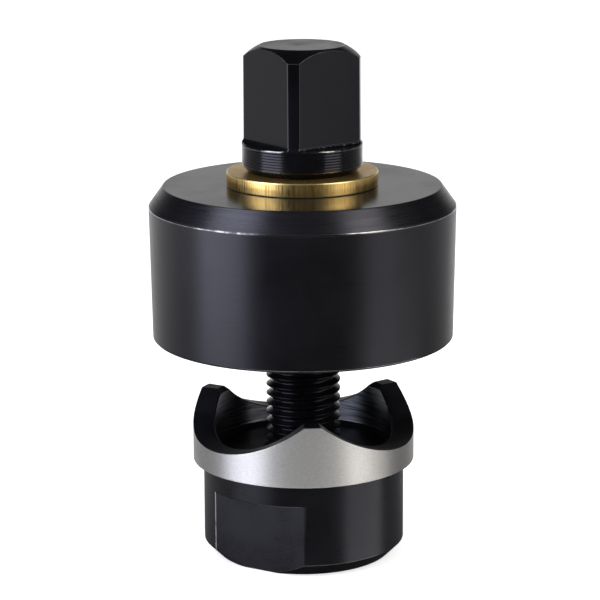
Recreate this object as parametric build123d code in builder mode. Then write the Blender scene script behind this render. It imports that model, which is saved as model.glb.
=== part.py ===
# Knockout punch, turned by hand: a square-headed screw draws a three-point punch
# and a cup-shaped die together, and the punch cuts a round hole in the sheet
# between them.
#
# Millimetres, +Z up. The origin is the middle of the face that the punch stands
# on, and the screw's axis is Z. The tool stands open, as it does on a bench.

import os
from math import asin, cos, degrees, radians, sin, sqrt, tan

from build123d import *

os.makedirs("parts", exist_ok=True)

# Drive thread, M16 coarse, drawn as plain cylinders
thread_diameter = 16.0
crest_flat = 0.08            # the screw's crests stay this far under the full diameter
thread_play = 0.08           # radial running clearance in the punch

# Punch
cutting_diameter = 47.4      # over the ground band, the size of the hole it cuts
punch_height = 33.4          # foot to cutting points
point_count = 3
point_width = 3.5            # flat at the top of each point
first_point_angle = -85.4    # in the XY plane, counterclockwise from +X
valley_depth = 7.7
band_start = 20.5            # lower end of the ground band
body_diameter = 43.0
foot_bevel = 2.8
foot_round = 80.0            # the foot's bevel is very slightly rounded
cup_diameter = 38.0
cup_floor = 22.4             # height of the cup's floor above the foot
cup_bevel = 1.0              # inside corner, cup's wall to floor
mouth_bevel = 1.0            # inside edge of the cutting points
thread_mouth = 0.9           # bevel at both ends of the threaded hole
spanner_size = 37.0          # across the two milled flats
flat_height = 15.6
flat_angle = -120.4          # direction that the first flat faces

# Die
open_gap = 13.9              # cutting points to the die's rim, as it stands open
die_height = 32.7
shoulder_diameter = 64.8
rim_diameter = 63.8          # the wall draws in towards the rim
shoulder_bevel_in = 3.1
shoulder_bevel_down = 4.3
rim_bevel = 0.4
cutting_clearance = 0.15     # radial, between the cutting edges
land_height = 6.0            # straight part of the cavity above the rim
relief = 0.6                 # the cavity opens by this much above the land
web_thickness = 9.0
hole_bevel = 0.5

# Thrust washer
washer_diameter = 32.0
washer_thickness = 3.0
washer_edge = 0.25           # bevel round its outside

# Drive screw
shank_clearance = 0.25       # radial, in the die's web and in the washer
collar_diameter = 25.4
collar_height = 6.0
collar_bevel = 1.4
bar_diameter = 24.5          # turned corners of the square
square_size = 19.0           # across the flats
square_height = 20.4
crown_diameter = 17.7        # flat circle on top of the square
crown_drop = 2.4
crown_round = 16.0           # the square's top bevel is rounded a little
square_angle = -98.5         # direction that the nearest corner faces
cutter_radius = 1.2          # where the flats run out on the collar
flare_radius = 1.5           # where the turned corners run out on the collar
screw_length = 81.0          # collar to tail
plain_length = 17.0          # collar to the start of the thread
tail_bevel = 1.3

# Retaining ring and its groove
ring_thickness = 1.0
ring_width = 2.7             # opposite the gap
ring_width_at_gap = 1.7
ring_gap = 5.0
ring_seat = 0.02             # radial clearance on the groove's floor
groove_diameter = 15.2
groove_width = 1.1
end_float = 0.1              # die's web to the ring
lug_radius = 1.7
lug_hole = 0.85
lug_centre_radius = 10.2     # axis to the middle of a lug

# Radii and heights that follow
cutting_radius = cutting_diameter / 2
body_radius = body_diameter / 2
cup_radius = cup_diameter / 2
crest_radius = thread_diameter / 2 - crest_flat
threaded_hole_radius = crest_radius + thread_play
shank_radius = thread_diameter / 2
web_hole_radius = shank_radius + shank_clearance
cavity_radius = cutting_radius + cutting_clearance
relief_radius = cavity_radius + relief
shoulder_radius = shoulder_diameter / 2
rim_radius = rim_diameter / 2
collar_radius = collar_diameter / 2
bar_radius = bar_diameter / 2
crown_radius = crown_diameter / 2
groove_radius = groove_diameter / 2

die_low = punch_height + open_gap
die_top = die_low + die_height
web_low = die_top - web_thickness
washer_top = die_top + washer_thickness
collar_top = washer_top + collar_height
head_top = collar_top + square_height
screw_tail = washer_top - screw_length
thread_top = washer_top - plain_length
ring_top = web_low - end_float
groove_high = ring_top + (groove_width - ring_thickness) / 2
groove_low = groove_high - groove_width


def facing(angle, distance=0.0):
    """Upright plane, square to a direction in XY and a distance out along it."""
    out = Vector(cos(radians(angle)), sin(radians(angle)), 0)
    along = Vector(-sin(radians(angle)), cos(radians(angle)), 0)
    return Plane(origin=out * distance, x_dir=along, z_dir=out)


# The valleys are level along every radius and follow one arc on the unrolled
# rim, so each cutter is ruled between the same curve near the axis and outside.
half_point_angle = degrees(point_width / 2 / cutting_radius)
half_valley_angle = 180 / point_count - half_point_angle
half_valley_run = cutting_radius * radians(half_valley_angle)
valley_arc = (half_valley_run**2 + valley_depth**2) / (2 * valley_depth)
valley_floor = punch_height - valley_depth
valley_stations = 12
cutter_margin = 2.0          # how far each cutter runs out past what it cuts
cutter_top = punch_height + cutter_margin
near_reach = cup_radius * cos(radians(half_valley_angle)) - cutter_margin
far_reach = cutting_radius + cutter_margin


def valley_curve(reach):
    """The valley's outline on an upright plane at a distance from the axis."""
    points = []
    for station in range(valley_stations + 1):
        turn = radians(half_valley_angle) * (2 * station / valley_stations - 1)
        rise = valley_arc - sqrt(valley_arc**2 - (cutting_radius * turn) ** 2)
        points.append(Vector(reach * tan(turn), valley_floor + rise))
    steps = [station / valley_stations for station in range(valley_stations + 1)]
    return Edge.make_spline(points, parameters=steps)


with BuildPart() as punch:
    with BuildSketch(Plane.XZ):
        with BuildLine():
            foot = RadiusArc((body_radius, foot_bevel), (body_radius - foot_bevel, 0), foot_round)
            Polyline(
                foot @ 0,
                (body_radius, band_start),
                (cutting_radius, band_start),
                (cutting_radius, punch_height),
                (cup_radius + mouth_bevel, punch_height),
                (cup_radius, punch_height - mouth_bevel),
                (cup_radius, cup_floor + cup_bevel),
                (cup_radius - cup_bevel, cup_floor),
                (threaded_hole_radius + thread_mouth, cup_floor),
                (threaded_hole_radius, cup_floor - thread_mouth),
                (threaded_hole_radius, thread_mouth),
                (threaded_hole_radius + thread_mouth, 0),
                foot @ 1,
            )
        make_face()
    revolve(axis=Axis.Z)

    # Three scalloped valleys leave the three cutting points
    for valley in range(point_count):
        middle = first_point_angle + (valley + 0.5) * 360 / point_count
        for reach in (near_reach, far_reach):
            curve = valley_curve(reach)
            left, right = curve @ 0, curve @ 1
            with BuildSketch(facing(middle, reach)):
                with BuildLine():
                    add(curve)
                    Polyline(right, (right.X, cutter_top), (left.X, cutter_top), left)
                make_face()
        loft(ruled=True, mode=Mode.SUBTRACT)

    # Two spanner flats on the body, open at the foot
    flat_depth = body_radius - spanner_size / 2
    for side in (flat_angle, flat_angle + 180):
        with BuildSketch(facing(side, spanner_size / 2)):
            Rectangle(body_diameter, flat_height, align=(Align.CENTER, Align.MIN))
        extrude(amount=flat_depth * 2, mode=Mode.SUBTRACT)

with BuildPart() as die:
    with BuildSketch(Plane.XZ):
        with BuildLine():
            Polyline(
                (web_hole_radius + hole_bevel, die_top),
                (shoulder_radius - shoulder_bevel_in, die_top),
                (shoulder_radius, die_top - shoulder_bevel_down),
                (rim_radius, die_low + rim_bevel),
                (rim_radius - rim_bevel, die_low),
                (cavity_radius, die_low),
                (cavity_radius, die_low + land_height),
                (relief_radius, die_low + land_height + relief),
                (relief_radius, web_low),
                (web_hole_radius + hole_bevel, web_low),
                (web_hole_radius, web_low + hole_bevel),
                (web_hole_radius, die_top - hole_bevel),
                close=True,
            )
        make_face()
    revolve(axis=Axis.Z)

with BuildPart() as thrust_washer:
    with BuildSketch(Plane.XY.offset(die_top)):
        Circle(washer_diameter / 2)
        Circle(web_hole_radius, mode=Mode.SUBTRACT)
    extrude(amount=washer_thickness)
    circles = thrust_washer.edges().filter_by(GeomType.CIRCLE).sort_by(SortBy.RADIUS)
    chamfer(circles[-2:], length=washer_edge)

with BuildPart() as drive_screw:
    # The turned blank, from the tail up
    flare_drop = sqrt(flare_radius**2 - (flare_radius - collar_radius + bar_radius) ** 2)
    with BuildSketch(Plane.XZ):
        with BuildLine():
            flare = RadiusArc(
                (collar_radius, collar_top), (bar_radius, collar_top + flare_drop), flare_radius
            )
            crown = RadiusArc(
                (crown_radius, head_top), (bar_radius, head_top - crown_drop), crown_round
            )
            Line(flare @ 1, crown @ 1)
            Polyline(
                crown @ 0,
                (0, head_top),
                (0, screw_tail),
                (crest_radius - tail_bevel, screw_tail),
                (crest_radius, screw_tail + tail_bevel),
                (crest_radius, thread_top),
                (shank_radius, thread_top + shank_radius - crest_radius),
                (shank_radius, groove_low),
                (groove_radius, groove_low),
                (groove_radius, groove_high),
                (shank_radius, groove_high),
                (shank_radius, washer_top),
                (collar_radius - collar_bevel, washer_top),
                (collar_radius, washer_top + collar_bevel),
                flare @ 0,
            )
        make_face()
    revolve(axis=Axis.Z)

    # Four flats milled down to the collar with a round-nosed cutter
    flat_reach = square_size / 2
    mill_top = head_top + cutter_margin
    for face in range(4):
        outward = square_angle + 45 + 90 * face
        with BuildSketch(facing(outward - 90)):
            with BuildLine():
                nose = RadiusArc(
                    (flat_reach + cutter_radius, collar_top),
                    (flat_reach, collar_top + cutter_radius),
                    cutter_radius,
                )
                Polyline(
                    nose @ 1,
                    (flat_reach, mill_top),
                    (collar_diameter, mill_top),
                    (collar_diameter, collar_top),
                    nose @ 0,
                )
            make_face()
        extrude(amount=collar_diameter, both=True, mode=Mode.SUBTRACT)

with BuildPart() as retaining_ring:
    seat_radius = groove_radius + ring_seat
    outer_radius = seat_radius + (ring_width + ring_width_at_gap) / 2
    outer_offset = (ring_width - ring_width_at_gap) / 2
    lug_turn = degrees(asin((ring_gap / 2 + lug_radius) / lug_centre_radius))
    with BuildSketch(Plane.XY.offset(ring_top - ring_thickness)):
        with Locations((-outer_offset, 0)):
            Circle(outer_radius)
        lugs = PolarLocations(lug_centre_radius, 2, start_angle=-lug_turn, angular_range=4 * lug_turn)
        with lugs:
            Circle(lug_radius)
        Circle(seat_radius, mode=Mode.SUBTRACT)
        with Locations((lug_centre_radius, 0)):
            Rectangle(2 * lug_centre_radius, ring_gap, mode=Mode.SUBTRACT)
        with lugs:
            Circle(lug_hole, mode=Mode.SUBTRACT)
    extrude(amount=ring_thickness)

punch.part.label = "punch"
die.part.label = "die"
thrust_washer.part.label = "thrust_washer"
drive_screw.part.label = "drive_screw"
retaining_ring.part.label = "retaining_ring"
for piece in (punch, die, thrust_washer, drive_screw, retaining_ring):
    export_step(piece.part, f"parts/{piece.part.label}.step")
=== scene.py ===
# Knockout punch, dressed for its picture: blackened steel, a ground band round the
# cutting end and a brass thrust washer, standing open on a pale floor.
# Piece settings are in millimetres and degrees, Blender itself works in metres.

from math import acos, asin, cos, degrees, hypot, pi, radians, sin, sqrt, tan

import bmesh
import bpy
from mathutils import Euler, Matrix, Vector, noise


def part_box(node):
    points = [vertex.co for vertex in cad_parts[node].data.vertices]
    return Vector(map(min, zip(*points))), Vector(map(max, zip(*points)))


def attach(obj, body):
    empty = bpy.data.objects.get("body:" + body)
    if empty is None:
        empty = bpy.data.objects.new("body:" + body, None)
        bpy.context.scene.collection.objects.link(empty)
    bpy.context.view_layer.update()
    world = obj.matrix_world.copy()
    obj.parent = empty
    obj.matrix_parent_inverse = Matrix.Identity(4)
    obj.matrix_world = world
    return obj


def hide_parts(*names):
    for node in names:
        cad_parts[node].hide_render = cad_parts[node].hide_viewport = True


print("scene: loading the packed frame")
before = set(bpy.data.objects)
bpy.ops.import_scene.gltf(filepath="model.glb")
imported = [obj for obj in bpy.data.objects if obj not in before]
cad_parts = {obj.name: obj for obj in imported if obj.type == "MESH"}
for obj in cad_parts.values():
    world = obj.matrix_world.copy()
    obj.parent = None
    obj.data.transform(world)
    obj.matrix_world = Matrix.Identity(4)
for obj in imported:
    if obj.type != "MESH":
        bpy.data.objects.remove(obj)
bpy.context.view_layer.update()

mm = 0.001
sameSpot = 1e-6      # points closer than this are welded, in metres
nodeBoxes = {}       # each node's corners in millimetres, measured once


def boxOf(node):
    if node not in nodeBoxes:
        low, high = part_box(node)
        nodeBoxes[node] = (low / mm, high / mm)
    return nodeBoxes[node]


# Shapes: every turned piece is one outline that may change as it goes round

rounding = {
    "steps": 4,             # segments in each rounded edge
    "edgeShare": 0.4,       # the most that an edge takes of the shorter side beside it
    "support": 0.3,         # how far the support points lie from a rounded edge
    "supportShare": 0.1,
    "shortest": 0.001,      # beside a shorter side a corner stays sharp
    "straight": 89.0,       # and so does a corner that hardly turns
}
cornerRows = rounding["steps"] + 3

stations = {
    "spread": (0.25, 0.7, 1.4),    # degrees beside each special direction
    "closest": 0.12,
}


def clamp(value, low=0.0, high=1.0):
    return max(low, min(high, value))


def softMin(first, second, blend):
    # the smaller of two sizes, with the edge between them rounded
    share = clamp(0.5 + 0.5 * (second - first) / blend)
    return second + (first - second) * share - blend * share * (1 - share)


def turnFrom(turn, middle, repeats):
    # signed angle from the nearest of several evenly spaced directions, in radians
    step = 2 * pi / repeats
    return (turn - radians(middle) + step / 2) % step - step / 2


def roundedCorner(before, corner, after, radius, winding, rubbing=1.0):
    # one rounded edge as (radius, height, wear) points, with a support point each side
    # winding is 1 for an outline that runs anticlockwise and -1 for a clockwise one
    corner = Vector(corner)
    sharp = [(corner.x, corner.y, 0.0)] * cornerRows
    toBefore = Vector(before) - corner
    toAfter = Vector(after) - corner
    shortest = min(toBefore.length, toAfter.length)
    if radius <= 0 or shortest < rounding["shortest"]:
        return sharp
    toBefore.normalize()
    toAfter.normalize()
    half = toBefore.angle(toAfter) / 2
    if half > radians(rounding["straight"]):
        return sharp
    outside = (toBefore.x * toAfter.y - toBefore.y * toAfter.x) * winding < 0
    wear = rubbing if outside else 0.0      # nothing rubs an inside corner
    reach = min(radius / tan(half), rounding["edgeShare"] * shortest)
    radius = reach * tan(half)
    centre = corner + (toBefore + toAfter).normalized() * radius / sin(half)
    start = corner + toBefore * reach
    end = corner + toAfter * reach
    support = min(rounding["support"], rounding["supportShare"] * shortest)
    sweep = pi - 2 * half
    points = [(*(start + toBefore * support), 0.0)]
    for step in range(rounding["steps"] + 1):
        turned = sweep * step / rounding["steps"]
        spoke = (start - centre) * sin(sweep - turned) + (end - centre) * sin(turned)
        points.append((*(centre + spoke / sin(sweep)), wear))
    points.append((*(end + toAfter * support), 0.0))
    return points


def roundedOutline(corners, winding):
    # a closed outline, its corners as (radius, height, edge radius) and, where it isn't 1, rubbing
    points = []
    for index, corner in enumerate(corners):
        before = corners[index - 1]
        after = corners[(index + 1) % len(corners)]
        points += roundedCorner(before[:2], corner[:2], after[:2], corner[2], winding, *corner[3:])
    return points


def stationsRound(step, special=()):
    # directions for the outline, closer together beside each special direction
    turns = {round(count * step, 3) for count in range(int(360 / step) + 1)}
    spread = stations["spread"]
    for direction in special:
        for offset in (0.0, *spread, *[-gap for gap in spread]):
            turns.add(round((direction + offset) % 360, 3))
    ordered = sorted(turns)
    kept = [turn for turn, after in zip(ordered, ordered[1:]) if after - turn > stations["closest"]]
    return [radians(turn) for turn in kept + [360.0]]


def spinMesh(name, turns, outlineAt, closed):
    build = bmesh.new()
    wearLayer = build.verts.layers.float.new("wear")
    columns = []
    for turn in turns:
        column = []
        for radius, height, wear in outlineAt(turn):
            vert = build.verts.new((radius * cos(turn) * mm, radius * sin(turn) * mm, height * mm))
            vert[wearLayer] = wear
            column.append(vert)
        columns.append(column)
    rows = len(columns[0])
    for left, right in zip(columns, columns[1:]):
        for row in range(rows if closed else rows - 1):
            above = (row + 1) % rows
            build.faces.new((left[row], right[row], right[above], left[above]))
    return finishMesh(name, build)


def finishMesh(name, build):
    bmesh.ops.remove_doubles(build, verts=build.verts, dist=sameSpot)
    bmesh.ops.dissolve_degenerate(build, edges=build.edges, dist=sameSpot / 10)
    bmesh.ops.recalc_face_normals(build, faces=build.faces)
    for face in build.faces:
        face.smooth = True
    mesh = bpy.data.meshes.new(name)
    build.to_mesh(mesh)
    build.free()
    piece = bpy.data.objects.new(name, mesh)
    bpy.context.scene.collection.objects.link(piece)
    print("scene: made", name, "with", len(mesh.polygons), "faces")
    return piece


def seat(piece, node, body):
    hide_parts(node)
    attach(piece, body)


# Shared thread: M16 coarse, right-handed, the same helix on the screw and in the punch

thread = {
    "pitch": 2.0,
    "crest": 7.92,
    "root": 6.77,
    "play": 0.1,          # radial room between screw and punch
    "phase": 0.85,        # share of a pitch that the crests are turned on
    "spare": 3,           # turns past each end, clamped to it
    "form": ((0.0, 1.0), (0.045, 1.0), (0.08, 0.95), (0.37, 0.06), (0.41, 0.0),
             (0.5, 0.0), (0.59, 0.0), (0.63, 0.06), (0.92, 0.95), (0.955, 1.0)),
}


def threadRows(low, high, turn, radiusAt):
    # rows that follow the helix from low to high, clamped at both ends
    pitch = thread["pitch"]
    first = int(low / pitch) - thread["spare"]
    last = int(high / pitch) + thread["spare"]
    rows = []
    for winding in range(first, last):
        for share, fullness in thread["form"]:
            height = pitch * (winding + share + turn / (2 * pi) + thread["phase"])
            height = clamp(height, low, high)
            rows.append((radiusAt(height, fullness), height, 0.0))
    return rows


# Punch

punch = {
    "points": 3,
    "pointWidth": 3.5,
    "firstPoint": -85.4,
    "valleyDepth": 7.7,
    "bandStart": 20.5,
    "bodyRadius": 21.5,
    "footBevel": 2.8,
    "cupRadius": 19.0,
    "cupFloor": 22.4,
    "cupBevel": 1.0,
    "mouthBevel": 1.0,
    "threadMouth": 0.9,
    "holeRadius": 8.0,
    "flatReach": 18.5,
    "flatHeight": 15.6,
    "flatAngle": -120.4,
    "edge": 0.12,          # how far ordinary edges are broken
    "cuttingEdge": 0.05,
    "bandFoot": 0.2,
    "cupEdge": 0.4,
    "pointBlend": 0.1,     # how softly a valley runs into a point
    "flatBlend": 0.12,     # and a flat into the body
    "footRubbing": 0.6,
    "ledgeRubbing": 0.6,
    "ledgeLeast": 0.15,    # a narrower ledge isn't rubbed
    "burrReach": 0.06,     # how near its flat's edge the burr stands
    "burrWear": 2.0,       # over 1 the wear is a burr
    "burrEnd": 0.25,
    "step": 1.5,           # degrees from station to station
    "bandFacing": 0.6,     # how far a face looks outward on the band
    "boredFacing": -0.8,   # and inward on the bored wall
    "boredReach": 0.5,
    "shearedFacing": 0.2,  # and upward on the cutting edge
}


def punchTop(turn):
    top = boxOf("punch")[1]
    halfRun = pi / punch["points"] * top.x - punch["pointWidth"] / 2
    arc = (halfRun**2 + punch["valleyDepth"]**2) / (2 * punch["valleyDepth"])
    middle = punch["firstPoint"] + 180 / punch["points"]
    run = turnFrom(turn, middle, punch["points"]) * top.x
    valley = top.z - punch["valleyDepth"] + arc - sqrt(arc**2 - run**2)
    return softMin(top.z, valley, punch["pointBlend"])


def punchOutline(turn):
    size = boxOf("punch")[1]
    edge = punch["edge"]
    sharp = punch["cuttingEdge"]
    body = punch["bodyRadius"]
    cup = punch["cupRadius"]
    floor = punch["cupFloor"]
    flat = punch["flatReach"] / max(cos(turnFrom(turn, punch["flatAngle"], 2)), 0.1)
    wall = softMin(body, flat, punch["flatBlend"])
    footEdge = body - punch["footBevel"]
    ledge = punch["flatHeight"]
    ledgeRubbing = punch["ledgeRubbing"] if body - wall > punch["ledgeLeast"] else 0.0
    top = punchTop(turn)
    mouth = clamp(top - size.z + punch["mouthBevel"], 2 * edge, punch["mouthBevel"])
    hole = punch["holeRadius"]
    bevel = punch["threadMouth"]
    corners = [
        (min(wall - 2 * edge, footEdge), 0.0, edge, punch["footRubbing"]),
        (wall, max(wall - footEdge, 2 * edge), edge, punch["footRubbing"]),
        (wall, ledge, edge),
        (body, ledge, edge, ledgeRubbing),
        (body, ledge + punch["burrEnd"], 0.0),
        (body, punch["bandStart"], punch["bandFoot"]),
        (size.x, punch["bandStart"], edge),
        (size.x, top, sharp),
        (cup + mouth, top, sharp),
        (cup, top - mouth, sharp),
        (cup, floor + punch["cupBevel"], punch["cupEdge"]),
        (cup - punch["cupBevel"], floor, punch["cupEdge"]),
        (hole + bevel, floor, edge),
        (hole, floor - bevel, 0.0),
        (hole, bevel, 0.0),
        (hole + bevel, 0.0, edge),
    ]
    points = roundedOutline(corners, 1)
    if abs(flat - body) < punch["burrReach"] and turnFrom(turn, punch["flatAngle"], 2) < 0:
        # one upright edge of each flat has a burr over its whole height
        for row in range(4 * cornerRows):
            points[row] = (*points[row][:2], punch["burrWear"])
    # the thread takes the place of the hole's two sharp corners
    above = points[:-3 * cornerRows]
    below = points[-cornerRows:]

    def radiusAt(height, fullness):
        inner = thread["crest"] + thread["play"]
        inner -= (1 - fullness) * (thread["crest"] - thread["root"])
        mouthHere = hole + bevel - min(height, floor - height)
        return max(inner, mouthHere)

    return above + threadRows(below[0][1], above[-1][1], turn, radiusAt)[::-1] + below


def makePunch():
    cuttingRadius = boxOf("punch")[1].x
    halfPoint = degrees(punch["pointWidth"] / 2 / cuttingRadius)
    halfFlat = degrees(acos(punch["flatReach"] / punch["bodyRadius"]))
    special = []
    for point in range(punch["points"]):
        direction = punch["firstPoint"] + point * 360 / punch["points"]
        special += [direction - halfPoint, direction + halfPoint]
    for direction in (punch["flatAngle"], punch["flatAngle"] + 180):
        special += [direction - halfFlat, direction + halfFlat]
    piece = spinMesh("punchBody", stationsRound(punch["step"], special), punchOutline, True)
    bandInside = (punch["bodyRadius"] + cuttingRadius) / 2
    wallFoot = punch["cupFloor"] + punch["cupBevel"]
    wallInside = punch["cupRadius"] - punch["boredReach"]
    for face in piece.data.polygons:
        spot = face.center / mm
        reach = hypot(spot.x, spot.y)
        outward = (face.normal.x * spot.x + face.normal.y * spot.y) / reach
        if reach > bandInside and outward > punch["bandFacing"]:
            face.material_index = 1       # ground band
        elif outward < punch["boredFacing"] and spot.z > wallFoot and reach > wallInside:
            face.material_index = 2       # bored wall of the cup
        elif face.normal.z > punch["shearedFacing"] and spot.z > punch["bandStart"]:
            face.material_index = 3       # scalloped edge and the cup's floor
    seat(piece, "punch", "punch")
    return piece


# Die

die = {
    "shoulderIn": 3.1,
    "shoulderDown": 4.3,
    "rimRadius": 31.9,
    "rimBevel": 0.4,
    "landRadius": 23.85,
    "landHeight": 6.0,
    "relief": 0.6,
    "web": 9.0,
    "holeRadius": 8.25,
    "holeBevel": 0.5,
    "edge": 0.22,
    "holeEdge": 0.15,
    "rimEdge": 0.1,
    "cuttingEdge": 0.06,
    "landEdge": 0.2,
    "webEdge": 0.8,
    "topRubbing": 0.35,
    "step": 1.5,           # degrees from station to station
    "topDepth": 0.1,
    "topFacing": 0.9,      # how far a face looks up on the faced top
    "shoulderFacing": 0.3,
}


def dieOutline(turn):
    low, high = boxOf("die")
    relief = die["landRadius"] + die["relief"]
    webLow = high.z - die["web"]
    land = low.z + die["landHeight"]
    hole = die["holeRadius"]
    bevel = die["holeBevel"]
    holeEdge = die["holeEdge"]
    corners = [
        (hole + bevel, high.z, holeEdge),
        (high.x - die["shoulderIn"], high.z, die["edge"], die["topRubbing"]),
        (high.x, high.z - die["shoulderDown"], die["edge"]),
        (die["rimRadius"], low.z + die["rimBevel"], die["rimEdge"]),
        (die["rimRadius"] - die["rimBevel"], low.z, die["rimEdge"]),
        (die["landRadius"], low.z, die["cuttingEdge"]),
        (die["landRadius"], land, die["landEdge"]),
        (relief, land + die["relief"], die["landEdge"]),
        (relief, webLow, die["webEdge"]),
        (hole + bevel, webLow, holeEdge),
        (hole, webLow + bevel, holeEdge),
        (hole, high.z - bevel, holeEdge),
    ]
    return roundedOutline(corners, -1)


def makeDie():
    piece = spinMesh("dieBody", stationsRound(die["step"]), dieOutline, True)
    topHeight = boxOf("die")[1].z - die["topDepth"]
    for face in piece.data.polygons:
        if face.center.z / mm > topHeight and face.normal.z > die["topFacing"]:
            face.material_index = 1       # faced top
        elif face.normal.z > die["shoulderFacing"]:
            face.material_index = 2       # shoulder
    seat(piece, "die", "die")
    return piece


# Thrust washer

washer = {
    "holeRadius": 8.25,
    "edge": 0.26,
    "holeEdge": 0.15,
    "barrel": 0.05,        # its side is turned very slightly round
    "barrelRound": 8.0,
    "step": 2.0,
}


def washerOutline(turn):
    low, high = boxOf("thrust_washer")
    corners = [
        (washer["holeRadius"], low.z, washer["holeEdge"]),
        (high.x - washer["barrel"], low.z, washer["edge"]),
        (high.x, (low.z + high.z) / 2, washer["barrelRound"], 0.0),
        (high.x - washer["barrel"], high.z, washer["edge"]),
        (washer["holeRadius"], high.z, washer["holeEdge"]),
    ]
    return roundedOutline(corners, 1)


def makeWasher():
    piece = spinMesh("thrustWasher", stationsRound(washer["step"]), washerOutline, True)
    seat(piece, "thrust_washer", "washer")
    return piece


# Drive screw

screw = {
    "squareReach": 9.5,
    "squareBlend": 0.12,
    "barRadius": 12.25,
    "faceRings": (3.0, 6.0),
    "crownRadius": 8.85,
    "crownDrop": 2.4,
    "crownRound": 11.0,
    "crownRows": 6,
    "crownTopEdge": 0.2,
    "crownFootEdge": 0.15,
    "crownRubbing": 0.55,
    "nearCorner": -98.5,
    "squareHeight": 20.4,
    "cutterRadius": 0.7,
    "flareRadius": 1.5,
    "flareFall": 1.6,
    "footRows": 10,
    "burrRows": (4, 5),      # torn edge where two of the flats run out
    "burrWear": 2.0,
    "burrRagged": 30.0,
    "burrContrast": 1.6,
    "collarHeight": 6.0,
    "collarEdge": 0.3,
    "collarRubbing": 0.8,
    "collarBevel": 1.4,
    "turnedPitch": 0.56,     # turning marks round the collar
    "turnedDepth": 0.06,
    "turnedTop": 0.55,       # plain strips over and under them
    "turnedFoot": 0.25,
    "rowsPerMark": 6,
    "shankRadius": 8.0,
    "grooveRadius": 7.6,
    "grooveLow": 69.85,
    "grooveHigh": 70.95,
    "grooveEdge": 0.05,
    "threadTop": 66.0,
    "threadStep": 0.08,      # plain shank over the crests
    "runOut": 3.0,
    "tailBevel": 1.3,
    "edge": 0.12,
    "step": 2.5,
    "topDepth": 0.05,
    "cornerDepth": 0.15,
}


def crownHeight(radius, headTop):
    # the square's top bevel is an arc through its two ends
    start = Vector((screw["crownRadius"], headTop))
    end = Vector((screw["barRadius"], headTop - screw["crownDrop"]))
    chord = end - start
    inward = Vector((chord.y, -chord.x)).normalized()
    sag = sqrt(screw["crownRound"]**2 - (chord.length / 2)**2)
    centre = (start + end) / 2 + inward * sag
    return centre.y + sqrt(screw["crownRound"]**2 - (radius - centre.x)**2)


def crownRows(wall, headTop, footTop):
    # the flat top and its turned bevel, from the axis out to the square's side
    crown = []
    for row in range(screw["crownRows"] + 1):
        radius = screw["crownRadius"] + (wall - screw["crownRadius"]) * row / screw["crownRows"]
        crown.append((radius, crownHeight(radius, headTop) if row else headTop))
    rows = [(radius, headTop, 0.0) for radius in (0.0, *screw["faceRings"])]
    rows += roundedCorner(rows[-1][:2], crown[0], crown[1], screw["crownTopEdge"], -1)
    rows += [(*spot, 0.0) for spot in crown[1:-1]]
    rows += roundedCorner(crown[-2], crown[-1], (wall, footTop), screw["crownFootEdge"], -1,
                          screw["crownRubbing"])
    return rows


def footRows(turn, lean, collar, collarTop):
    # the flats run out on the collar where the round-nosed cutter stopped
    flareOut = collar - screw["barRadius"]
    flareTop = sqrt(screw["flareRadius"]**2 - (screw["flareRadius"] - flareOut)**2)
    torn = abs(turnFrom(turn, screw["nearCorner"] + 45, 2)) < pi / 4
    around = Vector((cos(turn), sin(turn), 0)) * screw["burrRagged"]
    ragged = clamp(0.5 + screw["burrContrast"] * noise.noise(around)) * screw["burrWear"]
    rows = []
    for row in range(screw["footRows"] + 1):
        swing = pi / 2 * row / screw["footRows"]
        rise = screw["cutterRadius"] * (1 - sin(swing))
        nose = screw["cutterRadius"] * (1 - cos(swing))
        turned = screw["barRadius"] + flareOut * (1 - clamp(rise / flareTop))**screw["flareFall"]
        milled = (screw["squareReach"] + nose) / lean
        burr = ragged if torn and row in screw["burrRows"] and milled < turned else 0.0
        rows.append((softMin(turned, milled, screw["squareBlend"]), collarTop + rise, burr))
    return rows


def markRows(collar, top, foot):
    # turning marks round the collar
    count = int((top - foot) / screw["turnedPitch"] * screw["rowsPerMark"])
    rows = []
    for row in range(count + 1):
        wave = 0.5 - 0.5 * cos(2 * pi * row / screw["rowsPerMark"])
        rows.append((collar - screw["turnedDepth"] * wave, top + (foot - top) * row / count, 0.0))
    return rows


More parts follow.
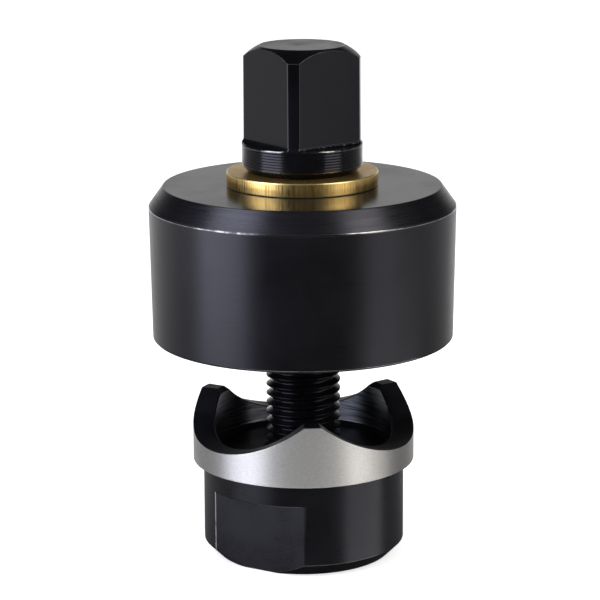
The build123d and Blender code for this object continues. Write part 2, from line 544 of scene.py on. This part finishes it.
def screwOutline(turn):
    low, high = boxOf("drive_screw")
    collarTop = high.z - screw["squareHeight"]
    collarLow = collarTop - screw["collarHeight"]
    collar = high.x
    edge = screw["edge"]
    lean = max(cos(turnFrom(turn, screw["nearCorner"] + 45, 4)), 0.5)
    wall = softMin(screw["barRadius"], screw["squareReach"] / lean, screw["squareBlend"])
    points = crownRows(wall, high.z, collarTop + screw["cutterRadius"])
    points += footRows(turn, lean, collar, collarTop)
    points += roundedCorner(points[-1][:2], (collar, collarTop), (collar, collarLow),
                            screw["collarEdge"], -1, screw["collarRubbing"])
    markLow = collarLow + screw["collarBevel"] + screw["turnedFoot"]
    points += markRows(collar, collarTop - screw["turnedTop"], markLow)
    shank = screw["shankRadius"]
    groove = screw["grooveRadius"]
    grooveEdge = screw["grooveEdge"]
    lower = [
        (collar, collarLow + screw["collarBevel"], edge),
        (collar - screw["collarBevel"], collarLow, edge),
        (shank, collarLow, edge),
        (shank, screw["grooveHigh"], grooveEdge),
        (groove, screw["grooveHigh"], grooveEdge),
        (groove, screw["grooveLow"], grooveEdge),
        (shank, screw["grooveLow"], grooveEdge),
        (shank, screw["threadTop"] + screw["threadStep"], grooveEdge),
        (thread["crest"], screw["threadTop"], 0.0),
    ]
    before = (collar, markLow)
    for corner, after in zip(lower, lower[1:]):
        points += roundedCorner(before[:2], corner[:2], after[:2], corner[2], -1)
        before = corner
    tail = thread["crest"] - screw["tailBevel"]

    def radiusAt(height, fullness):
        fade = clamp((screw["threadTop"] - height) / screw["runOut"])
        fade = fade * fade * (3 - 2 * fade)
        inner = thread["crest"] - (1 - fullness) * (thread["crest"] - thread["root"]) * fade
        return min(inner, tail + height - low.z)

    points += threadRows(low.z, screw["threadTop"], turn, radiusAt)[::-1]
    return points + [(screw["faceRings"][0], low.z, 0.0), (0.0, low.z, 0.0)]


def makeScrew():
    halfFlat = degrees(acos(screw["squareReach"] / screw["barRadius"]))
    special = []
    for flat in range(4):
        outward = screw["nearCorner"] + 45 + 90 * flat
        special += [outward - halfFlat, outward + halfFlat]
    piece = spinMesh("screwBody", stationsRound(screw["step"], special), screwOutline, False)
    headTop = boxOf("drive_screw")[1].z
    collarTop = headTop - screw["squareHeight"]
    cornerInside = screw["barRadius"] - screw["cornerDepth"]
    for face in piece.data.polygons:
        spot = face.center / mm
        if spot.z < screw["threadTop"]:
            face.material_index = 1       # oiled thread
        elif spot.z > headTop - screw["topDepth"]:
            face.material_index = 3       # faced top
        elif spot.z < collarTop or hypot(spot.x, spot.y) > cornerInside:
            face.material_index = 2       # turned collar and corners
    seat(piece, "drive_screw", "screw")
    return piece


# Retaining ring, a flat spring with two eyed lugs

ring = {
    "seatRadius": 7.62,
    "outerRadius": 9.82,
    "outerOffset": 0.5,
    "gap": 5.0,
    "lugCentre": 10.2,
    "lugRadius": 1.7,
    "lugHole": 0.85,
    "lugShare": 0.97,      # how much of a lug the ring's ends take in
    "edge": 0.08,
    "stations": 160,
    "eyeStations": 24,
}


def makeRing():
    low, high = boxOf("retaining_ring")
    halfGap = ring["gap"] / 2
    lugTurn = asin((halfGap + ring["lugRadius"]) / ring["lugCentre"])
    startTurn = lugTurn - asin(ring["lugRadius"] / ring["lugCentre"]) * ring["lugShare"]
    outer, inner = [], []
    for station in range(ring["stations"] + 1):
        turn = startTurn + (2 * pi - 2 * startTurn) * station / ring["stations"]
        offset = ring["outerOffset"]
        reach = -offset * cos(turn) + sqrt(ring["outerRadius"]**2 - (offset * sin(turn))**2)
        away = min(abs(turn - lugTurn), abs(2 * pi - turn - lugTurn))
        across = ring["lugCentre"] * sin(away)
        if away < pi / 2 and abs(across) < ring["lugRadius"]:
            lugReach = ring["lugCentre"] * cos(away) + sqrt(ring["lugRadius"]**2 - across**2)
            reach = max(reach, lugReach)
        near = ring["seatRadius"]
        if cos(turn) > 0:
            near = max(near, halfGap / max(abs(sin(turn)), 0.05))
        outer.append((reach * cos(turn), reach * sin(turn)))
        inner.append((near * cos(turn), near * sin(turn)))
    loops = [outer + inner[::-1]]
    for side in (-1, 1):
        centre = Vector((cos(lugTurn), side * sin(lugTurn))) * ring["lugCentre"]
        eye = []
        for step in range(ring["eyeStations"]):
            turn = 2 * pi * step / ring["eyeStations"]
            eye.append((centre.x + ring["lugHole"] * cos(turn),
                        centre.y + ring["lugHole"] * sin(turn)))
        loops.append(eye)
    curve = bpy.data.curves.new("springRing", "CURVE")
    curve.dimensions = "2D"
    curve.fill_mode = "BOTH"
    curve.extrude = ((high.z - low.z) / 2 - ring["edge"]) * mm
    curve.bevel_depth = ring["edge"] * mm
    curve.bevel_resolution = 1
    curve.offset = -ring["edge"] * mm
    for loop in loops:
        spline = curve.splines.new("POLY")
        spline.points.add(len(loop) - 1)
        for point, spot in zip(spline.points, loop):
            point.co = (spot[0] * mm, spot[1] * mm, 0.0, 1.0)
        spline.use_cyclic_u = True
    holder = bpy.data.objects.new("springRingCurve", curve)
    build = bmesh.new()
    build.from_mesh(holder.to_mesh())
    bpy.data.objects.remove(holder)
    bmesh.ops.translate(build, verts=build.verts, vec=(0, 0, (low.z + high.z) / 2 * mm))
    piece = finishMesh("springRing", build)
    seat(piece, "retaining_ring", "screw")
    return piece


# Node helpers

def newGroup(name, inputs, outputs):
    group = bpy.data.node_groups.new(name, "ShaderNodeTree")
    for label, kind, value in inputs:
        socket = group.interface.new_socket(name=label, in_out="INPUT", socket_type=kind)
        if value is not None:
            socket.default_value = value
    for label, kind in outputs:
        group.interface.new_socket(name=label, in_out="OUTPUT", socket_type=kind)
    source = group.nodes.new("NodeGroupInput")
    result = group.nodes.new("NodeGroupOutput")
    return group, source.outputs, result.inputs


def place(tree, kind, links=None, **settings):
    # one node with its sockets fed by other sockets or plain values
    node = tree.nodes.new(kind)
    for label, value in settings.items():
        setattr(node, label, value)
    for label, value in (links or {}).items():
        feed(tree, node.inputs[label], value)
    return node


def feed(tree, socket, value):
    if isinstance(value, bpy.types.NodeSocket):
        tree.links.new(value, socket)
    else:
        socket.default_value = value


def maths(tree, operation, *values):
    node = place(tree, "ShaderNodeMath", dict(enumerate(values)), operation=operation)
    return node.outputs[0]


def remap(tree, value, low, high, toLow=0.0, toHigh=1.0):
    links = {"Value": value, "From Min": low, "From Max": high, "To Min": toLow, "To Max": toHigh}
    return place(tree, "ShaderNodeMapRange", links, interpolation_type="SMOOTHSTEP").outputs[0]


def mixColour(tree, share, first, second):
    node = place(tree, "ShaderNodeMix", {0: share, 6: first, 7: second}, data_type="RGBA")
    return node.outputs[2]


def noiseAt(tree, vector, scale, detail=3.0, rough=0.55):
    links = {"Vector": vector, "Scale": scale, "Detail": detail, "Roughness": rough}
    return place(tree, "ShaderNodeTexNoise", links).outputs[0]


def groupNode(tree, group, **links):
    node = tree.nodes.new("ShaderNodeGroup")
    node.node_tree = group
    for label, value in links.items():
        feed(tree, node.inputs[label], value)
    return node.outputs


# Shared effects

effects = {
    "patchFade": (-0.3, 0.1),    # how softly a rubbed patch ends
    "edgeFade": (0.35, 0.95),    # and how softly the edge runs into the wall
    "smudgeFade": (0.3, 0.7),    # from clean to oiled
}


def makeTurnedMarks():
    # circles left by the lathe: across the wall on a cylinder, ring by ring on a face
    inputs = [("Place", "NodeSocketVector", None), ("Pitch", "NodeSocketFloat", 0.3),
              ("Breakup", "NodeSocketFloat", 40.0)]
    group, source, result = newGroup("turnedMarks", inputs, [("Marks", "NodeSocketFloat")])
    parts = place(group, "ShaderNodeSeparateXYZ", {0: source["Place"]}).outputs
    square = maths(group, "ADD", maths(group, "MULTIPLY", parts[0], parts[0]),
                   maths(group, "MULTIPLY", parts[1], parts[1]))
    along = maths(group, "SUBTRACT", parts[2], maths(group, "SQRT", square))
    along = maths(group, "DIVIDE", maths(group, "MULTIPLY", along, 1 / mm), source["Pitch"])
    aroundX = maths(group, "MULTIPLY", parts[0], source["Breakup"])
    aroundY = maths(group, "MULTIPLY", parts[1], source["Breakup"])
    links = {0: along, 1: aroundX, 2: aroundY}
    vector = place(group, "ShaderNodeCombineXYZ", links).outputs[0]
    feed(group, result["Marks"], noiseAt(group, vector, 1.0, 2.0, 0.6))
    return group


def makeLongScratches():
    # fine lines that run up and down a wall
    inputs = [("Place", "NodeSocketVector", None), ("Across", "NodeSocketFloat", 4000.0),
              ("Along", "NodeSocketFloat", 120.0)]
    group, source, result = newGroup("longScratches", inputs, [("Lines", "NodeSocketFloat")])
    parts = place(group, "ShaderNodeSeparateXYZ", {0: source["Place"]}).outputs
    links = {0: maths(group, "MULTIPLY", parts[0], source["Across"]),
             1: maths(group, "MULTIPLY", parts[1], source["Across"]),
             2: maths(group, "MULTIPLY", parts[2], source["Along"])}
    vector = place(group, "ShaderNodeCombineXYZ", links).outputs[0]
    feed(group, result["Lines"], noiseAt(group, vector, 1.0, 3.0, 0.65))
    return group


def makeEdgeWear():
    # where handling has rubbed the rounded edges through
    inputs = [("Place", "NodeSocketVector", None), ("Wear", "NodeSocketFloat", 0.0),
              ("Amount", "NodeSocketFloat", 0.5), ("Scale", "NodeSocketFloat", 300.0)]
    group, source, result = newGroup("edgeWear", inputs, [("Mask", "NodeSocketFloat")])
    patches = noiseAt(group, source["Place"], source["Scale"], 4.0, 0.7)
    threshold = maths(group, "SUBTRACT", 1.0, source["Amount"])
    above = maths(group, "SUBTRACT", patches, threshold)
    rubbed = remap(group, above, *effects["patchFade"])
    edge = remap(group, source["Wear"], *effects["edgeFade"])
    feed(group, result["Mask"], maths(group, "MULTIPLY", rubbed, edge))
    return group


def makeSmudges():
    # uneven oil and oxide tone
    inputs = [("Place", "NodeSocketVector", None), ("Scale", "NodeSocketFloat", 60.0)]
    group, source, result = newGroup("oilSmudges", inputs, [("Mask", "NodeSocketFloat")])
    broad = noiseAt(group, source["Place"], source["Scale"], 4.0, 0.6)
    feed(group, result["Mask"], remap(group, broad, *effects["smudgeFade"]))
    return group


def makeFineGrain():
    inputs = [("Place", "NodeSocketVector", None), ("Scale", "NodeSocketFloat", 5000.0)]
    group, source, result = newGroup("fineGrain", inputs, [("Grain", "NodeSocketFloat")])
    feed(group, result["Grain"], noiseAt(group, source["Place"], source["Scale"], 2.0, 0.6))
    return group


print("scene: building the shared effects")
turnedMarks = makeTurnedMarks()
longScratches = makeLongScratches()
edgeWear = makeEdgeWear()
oilSmudges = makeSmudges()
fineGrain = makeFineGrain()


def startMaterial(name, constants):
    material = bpy.data.materials.new(name)
    material.use_nodes = True
    tree = material.node_tree
    shader = tree.nodes["Principled BSDF"]
    for label, value in constants.items():
        shader.inputs[label].default_value = value
    objectPlace = tree.nodes.new("ShaderNodeTexCoord").outputs["Object"]
    return material, tree, shader, objectPlace


def addBump(tree, shader, height, strength, distance):
    links = {"Height": height, "Strength": strength, "Distance": distance * mm}
    bump = place(tree, "ShaderNodeBump", links)
    tree.links.new(bump.outputs[0], shader.inputs["Normal"])


def stretchShine(tree, shader, amount):
    # marks that run round the axis draw the light out up and down the wall
    shader.inputs["Anisotropic"].default_value = amount
    shader.inputs["Anisotropic Rotation"].default_value = 0.25
    tangent = place(tree, "ShaderNodeTangent", direction_type="RADIAL", axis="Z").outputs[0]
    tree.links.new(tangent, shader.inputs["Tangent"])


# Finishes: pitch is in millimetres, the scales of smudge, grain and wear in turns to a metre

blackSteel = {
    "deep": (0.0020, 0.0020, 0.0026, 1.0),
    "pale": (0.0048, 0.0049, 0.0062, 1.0),
    "bare": (0.33, 0.325, 0.32, 1.0),
    "sheen": (0.88, 0.865, 1.0, 1.0),      # the oxide gives back light a little blue
    "bareWhole": 0.3,                      # rubbed this far, it is all bare steel
    "burnish": 0.65,                       # how much rubbing smooths it
    "torn": (1.2, 1.8, 0.0, 0.5),          # a torn edge is rough where a rubbed one shines
}
groundSteel = {"tone": (0.25, 0.75), "uneven": 0.06, "streak": 0.12}


def makeBlackSteel(name, finish):
    constants = {"IOR": 1.5, "Specular Tint": blackSteel["sheen"],
                 "Specular IOR Level": finish["shine"]}
    material, tree, shader, objectPlace = startMaterial(name, constants)
    marks = groupNode(tree, turnedMarks, Place=objectPlace, Pitch=finish["pitch"])["Marks"]
    smudge = groupNode(tree, oilSmudges, Place=objectPlace, Scale=finish["smudge"])["Mask"]
    grain = groupNode(tree, fineGrain, Place=objectPlace, Scale=finish["grain"])["Grain"]
    wearHere = place(tree, "ShaderNodeAttribute", attribute_name="wear").outputs["Fac"]
    rubbed = groupNode(tree, edgeWear, Place=objectPlace, Wear=wearHere,
                       Amount=finish["wear"], Scale=finish["wearScale"])["Mask"]
    oxide = mixColour(tree, smudge, blackSteel["deep"], blackSteel["pale"])
    feed(tree, shader.inputs["Base Color"], mixColour(tree, rubbed, oxide, blackSteel["bare"]))
    feed(tree, shader.inputs["Metallic"], remap(tree, rubbed, 0.0, blackSteel["bareWhole"]))
    uneven = maths(tree, "ADD", maths(tree, "MULTIPLY", smudge, finish["uneven"]),
                   maths(tree, "MULTIPLY", marks, finish["streak"]))
    rough = maths(tree, "ADD", uneven, finish["roughness"])
    burnish = maths(tree, "SUBTRACT", 1.0, maths(tree, "MULTIPLY", rubbed, blackSteel["burnish"]))
    rough = maths(tree, "MULTIPLY", rough, burnish)
    torn = remap(tree, wearHere, *blackSteel["torn"])
    feed(tree, shader.inputs["Roughness"], maths(tree, "ADD", rough, torn))
    relief = maths(tree, "ADD", marks, maths(tree, "MULTIPLY", grain, finish["grainShare"]))
    addBump(tree, shader, relief, finish["bump"], finish["bumpDepth"])
    return material


def makeGroundSteel(name, finish):
    material, tree, shader, objectPlace = startMaterial(name, {"Metallic": 1.0})
    stretchShine(tree, shader, finish["stretch"])
    marks = groupNode(tree, turnedMarks, Place=objectPlace, Pitch=finish["pitch"],
                      Breakup=finish["breakup"])["Marks"]
    smudge = groupNode(tree, oilSmudges, Place=objectPlace, Scale=finish["smudge"])["Mask"]
    tone = remap(tree, marks, *groundSteel["tone"])
    feed(tree, shader.inputs["Base Color"], mixColour(tree, tone, finish["dark"], finish["light"]))
    rough = maths(tree, "ADD", maths(tree, "MULTIPLY", smudge, groundSteel["uneven"]),
                  maths(tree, "MULTIPLY", marks, groundSteel["streak"]))
    feed(tree, shader.inputs["Roughness"], maths(tree, "ADD", rough, finish["roughness"]))
    addBump(tree, shader, marks, finish["bump"], finish["bumpDepth"])
    return material


def makeBrass(name, finish):
    material, tree, shader, objectPlace = startMaterial(name, {"Metallic": 1.0})
    lines = groupNode(tree, longScratches, Place=objectPlace,
                      Across=finish["across"], Along=finish["along"])["Lines"]
    smudge = groupNode(tree, oilSmudges, Place=objectPlace, Scale=finish["smudge"])["Mask"]
    wearHere = place(tree, "ShaderNodeAttribute", attribute_name="wear").outputs["Fac"]
    rubbed = groupNode(tree, edgeWear, Place=objectPlace, Wear=wearHere,
                       Amount=finish["wear"], Scale=finish["wearScale"])["Mask"]
    streaks = remap(tree, lines, *finish["streakTone"])
    tarnish = mixColour(tree, streaks, finish["dark"], finish["light"])
    browned = maths(tree, "MULTIPLY", smudge, finish["brownShare"])
    tarnish = mixColour(tree, browned, tarnish, finish["brown"])
    # deep scratches stand in clusters
    clusters = noiseAt(tree, objectPlace, finish["clusters"], 2.0)
    clusters = remap(tree, clusters, *finish["clusterEdge"])
    deep = maths(tree, "MULTIPLY", remap(tree, lines, *finish["deepEdge"], 1.0, 0.0), clusters)
    tarnish = mixColour(tree, deep, tarnish, finish["scratch"])
    feed(tree, shader.inputs["Base Color"], mixColour(tree, rubbed, tarnish, finish["bright"]))
    rough = maths(tree, "ADD", maths(tree, "MULTIPLY", streaks, finish["streak"]),
                  maths(tree, "MULTIPLY", smudge, finish["uneven"]))
    feed(tree, shader.inputs["Roughness"], maths(tree, "ADD", rough, finish["roughness"]))
    addBump(tree, shader, lines, finish["bump"], finish["bumpDepth"])
    return material


punchFinish = {
    "pitch": 0.22, "smudge": 80.0, "grain": 5200.0, "grainShare": 0.6, "shine": 0.35,
    "wear": 0.57, "wearScale": 420.0, "roughness": 0.22, "uneven": 0.06, "streak": 0.08,
    "bump": 0.15, "bumpDepth": 0.02,
}
bandFinish = {
    "pitch": 0.15, "breakup": 1400.0, "smudge": 90.0, "stretch": 0.74,
    "dark": (0.53, 0.52, 0.51, 1.0), "light": (0.65, 0.64, 0.625, 1.0),
    "roughness": 0.42, "bump": 0.14, "bumpDepth": 0.01,
}
boredFinish = {
    "pitch": 0.34, "breakup": 110.0, "smudge": 160.0, "stretch": 0.92,
    "dark": (0.05, 0.052, 0.06, 1.0), "light": (0.27, 0.28, 0.315, 1.0),
    "roughness": 0.26, "bump": 0.25, "bumpDepth": 0.02,
}
shearedFinish = {
    "pitch": 0.3, "smudge": 160.0, "grain": 4200.0, "grainShare": 1.5, "shine": 0.24,
    "wear": 0.2, "wearScale": 260.0, "roughness": 0.4, "uneven": 0.1, "streak": 0.02,
    "bump": 0.25, "bumpDepth": 0.02,
}
dieFinish = {
    "pitch": 0.16, "smudge": 55.0, "grain": 5200.0, "grainShare": 0.5, "shine": 0.4,
    "wear": 0.5, "wearScale": 260.0, "roughness": 0.24, "uneven": 0.05, "streak": 0.1,
    "bump": 0.18, "bumpDepth": 0.02,
}
facedFinish = {
    "pitch": 0.3, "smudge": 90.0, "grain": 5200.0, "grainShare": 0.3, "shine": 0.45,
    "wear": 0.5, "wearScale": 260.0, "roughness": 0.1, "uneven": 0.09, "streak": 0.06,
    "bump": 0.12, "bumpDepth": 0.015,
}
shoulderFinish = {
    "pitch": 0.36, "smudge": 55.0, "grain": 5200.0, "grainShare": 0.4, "shine": 0.4,
    "wear": 0.45, "wearScale": 260.0, "roughness": 0.14, "uneven": 0.05, "streak": 0.26,
    "bump": 0.6, "bumpDepth": 0.02,
}
brassFinish = {
    "across": 4000.0, "along": 120.0, "smudge": 140.0, "wear": 0.6, "wearScale": 200.0,
    "clusters": 170.0, "clusterEdge": (0.46, 0.6), "deepEdge": (0.40, 0.49),
    "scratch": (0.26, 0.14, 0.04, 1.0), "streakTone": (0.3, 0.7),
    "dark": (0.70, 0.43, 0.12, 1.0), "light": (1.0, 0.74, 0.28, 1.0),
    "brown": (0.38, 0.20, 0.05, 1.0), "brownShare": 0.25, "bright": (1.0, 0.80, 0.36, 1.0),
    "roughness": 0.22, "uneven": 0.08, "streak": 0.12, "bump": 0.6, "bumpDepth": 0.012,
}
milledFinish = {
    "pitch": 0.2, "smudge": 110.0, "grain": 5600.0, "grainShare": 0.5, "shine": 0.2,
    "wear": 0.36, "wearScale": 380.0, "roughness": 0.17, "uneven": 0.07, "streak": 0.04,
    "bump": 0.12, "bumpDepth": 0.02,
}
threadFinish = {
    "pitch": 0.4, "smudge": 180.0, "grain": 5600.0, "grainShare": 0.4, "shine": 0.13,
    "wear": 0.3, "wearScale": 380.0, "roughness": 0.13, "uneven": 0.08, "streak": 0.03,
    "bump": 0.1, "bumpDepth": 0.015,
}
turnedFinish = {
    "pitch": 0.2, "smudge": 110.0, "grain": 5600.0, "grainShare": 0.3, "shine": 0.32,
    "wear": 0.4, "wearScale": 380.0, "roughness": 0.12, "uneven": 0.05, "streak": 0.04,
    "bump": 0.1, "bumpDepth": 0.015,
}
headFinish = {
    "pitch": 0.3, "smudge": 120.0, "grain": 5200.0, "grainShare": 0.3, "shine": 0.36,
    "wear": 0.5, "wearScale": 260.0, "roughness": 0.2, "uneven": 0.12, "streak": 0.06,
    "bump": 0.12, "bumpDepth": 0.015,
}
ringFinish = {
    "pitch": 0.3, "smudge": 150.0, "grain": 6000.0, "grainShare": 1.0, "shine": 0.4,
    "wear": 0.3, "wearScale": 400.0, "roughness": 0.4, "uneven": 0.06, "streak": 0.04,
    "bump": 0.2, "bumpDepth": 0.02,
}

print("scene: making the pieces")
punchPiece = makePunch()
diePiece = makeDie()
washerPiece = makeWasher()
screwPiece = makeScrew()
ringPiece = makeRing()

print("scene: laying on the finishes")
# each piece's finishes stand in the order of the numbers that its faces were given
dressing = [
    (punchPiece, "blackPunchSteel", makeBlackSteel, punchFinish),
    (punchPiece, "groundBand", makeGroundSteel, bandFinish),
    (punchPiece, "boredSteel", makeGroundSteel, boredFinish),
    (punchPiece, "shearedSteel", makeBlackSteel, shearedFinish),
    (diePiece, "blackDieSteel", makeBlackSteel, dieFinish),
    (diePiece, "facedDieSteel", makeBlackSteel, facedFinish),
    (diePiece, "shoulderSteel", makeBlackSteel, shoulderFinish),
    (washerPiece, "washerBrass", makeBrass, brassFinish),
    (screwPiece, "milledSteel", makeBlackSteel, milledFinish),
    (screwPiece, "oiledThread", makeBlackSteel, threadFinish),
    (screwPiece, "turnedSteel", makeBlackSteel, turnedFinish),
    (screwPiece, "facedHeadSteel", makeBlackSteel, headFinish),
    (ringPiece, "phosphatedSpring", makeBlackSteel, ringFinish),
]
for piece, name, makeFinish, finish in dressing:
    piece.data.materials.append(makeFinish(name, finish))

# Stage, the studio as shiny steel sees it: levels are light, and a pair says where a
# part of the room begins or ends, along x to the right, y to the back and z up

stage = {
    "floorSize": 6.0,             # metres
    "floorDrop": 0.0001,
    "floorColour": (0.80, 0.80, 0.80, 1.0),
    "floorGlow": 0.60,            # what lifts the lit floor to white in the picture
    "skyGlow": 0.45,              # light on floor and object from all round
    "frontLevel": 0.042,          # the dark room towards the viewer
    "leftLevel": 0.90,            # pale surround under the horizon, left
    "rightLevel": 0.60,           # and right
    "sideBlend": (-0.4, 0.4),
    "sideStart": (-0.9, -0.5),
    "farLevel": 1.15,             # and behind the object
    "farStart": (0.7, 0.95),
    "horizon": (-0.1, 0.05),
    "surroundFoot": (-0.34, -0.2),
    "wallLevel": 0.55,            # pale wall behind the object, over the horizon
    "wallSide": (0.78, 0.93),
    "wallTop": (0.25, 0.45),
    "tableLevel": 2.5,            # the lit table in front, which ground steel gathers
    "tableTop": (-0.68, -0.5),
    "tableFoot": (-0.92, -0.8),
    "tableFront": (-0.5, -0.2),
}


def makeFloor():
    bpy.ops.mesh.primitive_plane_add(size=stage["floorSize"], location=(0, 0, -stage["floorDrop"]))
    floor = bpy.context.object
    floor.name = "paleFloor"
    constants = {"Base Color": stage["floorColour"], "Roughness": 0.9,
                 "Emission Color": (1, 1, 1, 1), "Specular IOR Level": 0.0}
    material, tree, shader = startMaterial("paleFloorPaint", constants)[:3]
    rays = tree.nodes.new("ShaderNodeLightPath").outputs
    seen = maths(tree, "MAXIMUM", rays["Is Camera Ray"], rays["Is Transmission Ray"])
    glow = maths(tree, "MULTIPLY", seen, stage["floorGlow"])
    feed(tree, shader.inputs["Emission Strength"], glow)
    floor.data.materials.append(material)
    floor.visible_glossy = False


def makeSky():
    world = bpy.data.worlds.new("studio")
    bpy.context.scene.world = world
    world.use_nodes = True
    tree = world.node_tree
    background = tree.nodes["Background"]
    background.inputs["Color"].default_value = (1, 1, 1, 1)
    direction = tree.nodes.new("ShaderNodeTexCoord").outputs["Generated"]
    parts = place(tree, "ShaderNodeSeparateXYZ", {0: direction}).outputs
    right, back, up = parts[0], parts[1], parts[2]
    sides = remap(tree, right, *stage["sideBlend"], stage["leftLevel"], stage["rightLevel"])
    sides = maths(tree, "MULTIPLY", sides, remap(tree, back, *stage["sideStart"]))
    far = remap(tree, back, *stage["farStart"])
    around = maths(tree, "ADD", maths(tree, "MULTIPLY", far, stage["farLevel"]),
                   maths(tree, "MULTIPLY", maths(tree, "SUBTRACT", 1.0, far), sides))
    under = maths(tree, "MULTIPLY", remap(tree, up, *stage["horizon"], 1.0, 0.0),
                  remap(tree, up, *stage["surroundFoot"]))
    wall = maths(tree, "MULTIPLY", remap(tree, up, *stage["horizon"]),
                 remap(tree, up, *stage["wallTop"], stage["wallLevel"], 0.0))
    wall = maths(tree, "MULTIPLY", wall, remap(tree, back, *stage["wallSide"]))
    pale = maths(tree, "ADD", maths(tree, "MULTIPLY", around, under), wall)
    table = maths(tree, "MULTIPLY", remap(tree, up, *stage["tableTop"], stage["tableLevel"], 0.0),
                  remap(tree, up, *stage["tableFoot"]))
    table = maths(tree, "MULTIPLY", table, remap(tree, back, *stage["tableFront"], 1.0, 0.0))
    mirrored = maths(tree, "ADD", maths(tree, "ADD", pale, table), stage["frontLevel"])
    rays = tree.nodes.new("ShaderNodeLightPath").outputs
    seen = maths(tree, "MAXIMUM", rays["Is Camera Ray"], rays["Is Transmission Ray"])
    plain = remap(tree, seen, 0.0, 1.0, stage["skyGlow"], 1.0)
    glossy = rays["Is Glossy Ray"]
    level = maths(tree, "ADD", maths(tree, "MULTIPLY", glossy, mirrored),
                  maths(tree, "MULTIPLY", maths(tree, "SUBTRACT", 1.0, glossy), plain))
    feed(tree, background.inputs["Strength"], level)


# Softboxes stand round the object, 0 degrees towards the viewer and positive to the
# right; their sizes and the height of their middle are in metres

boxDistance = 0.6      # metres from the axis
boxPower = 4.0         # watts to a square metre at level 1
leftTint = (0.95, 0.98, 1.12)
rightTint = (1.03, 1.0, 0.97)
softboxes = {
    "leftSoftbox": {"direction": -61.0, "width": 0.45, "height": 0.75, "middle": 0.25,
                    "level": 2.75, "tint": leftTint},
    "leftTopSoftbox": {"direction": -69.0, "width": 0.52, "height": 0.6, "middle": 0.925,
                       "level": 4.0, "tint": leftTint},
    "rightTopSoftbox": {"direction": 60.0, "width": 0.36, "height": 0.44, "middle": 0.84,
                        "level": 4.2, "tint": rightTint},
    "rightSoftbox": {"direction": 60.0, "width": 0.36, "height": 0.48, "middle": 0.38,
                     "level": 2.4, "tint": rightTint},
    "rightLowSoftbox": {"direction": 60.0, "width": 0.3, "height": 0.25, "middle": 0.0,
                        "level": 0.6, "tint": rightTint},
    "rightFootSoftbox": {"direction": 73.0, "width": 0.56, "height": 0.25, "middle": -0.28,
                         "level": 1.7, "tint": rightTint},
}


def addSoftbox(name, box):
    light = bpy.data.lights.new(name, "AREA")
    light.shape = "RECTANGLE"
    light.size = box["width"]
    light.size_y = box["height"]
    light.energy = boxPower * box["level"] * box["width"] * box["height"]
    light.color = box["tint"]
    holder = bpy.data.objects.new(name, light)
    bpy.context.scene.collection.objects.link(holder)
    turn = radians(box["direction"])
    spot = Vector((sin(turn) * boxDistance, -cos(turn) * boxDistance, box["middle"]))
    holder.location = spot
    towards = Vector((0, 0, box["middle"])) - spot
    holder.rotation_euler = towards.to_track_quat("-Z", "Y").to_euler()


# The camera stands where the photograph was taken from, in millimetres and degrees

photoView = {
    "x": -0.616, "y": -519.07, "z": 179.465, "pitch": 13.496, "roll": -0.268,
    "focalPixels": 2511.5, "framePixels": 600.0, "sensor": 36.0,
    "near": 0.01, "far": 50.0,      # metres
}


def makeCamera():
    view = photoView
    camera = bpy.data.cameras.new("photoCamera")
    camera.sensor_width = view["sensor"]
    camera.lens = view["sensor"] * view["focalPixels"] / view["framePixels"]
    camera.clip_start = view["near"]
    camera.clip_end = view["far"]
    holder = bpy.data.objects.new("photoCamera", camera)
    bpy.context.scene.collection.objects.link(holder)
    holder.location = Vector((view["x"], view["y"], view["z"])) * mm
    pitch = Euler((radians(90 - view["pitch"]), 0, 0)).to_matrix()
    roll = Matrix.Rotation(radians(view["roll"]), 3, "Z")
    holder.rotation_euler = (pitch @ roll).to_euler()
    bpy.context.scene.camera = holder


print("scene: setting the stage, the light and the camera")
makeFloor()
makeSky()
for name, box in softboxes.items():
    addSoftbox(name, box)
makeCamera()
bpy.context.scene.view_settings.view_transform = "Standard"
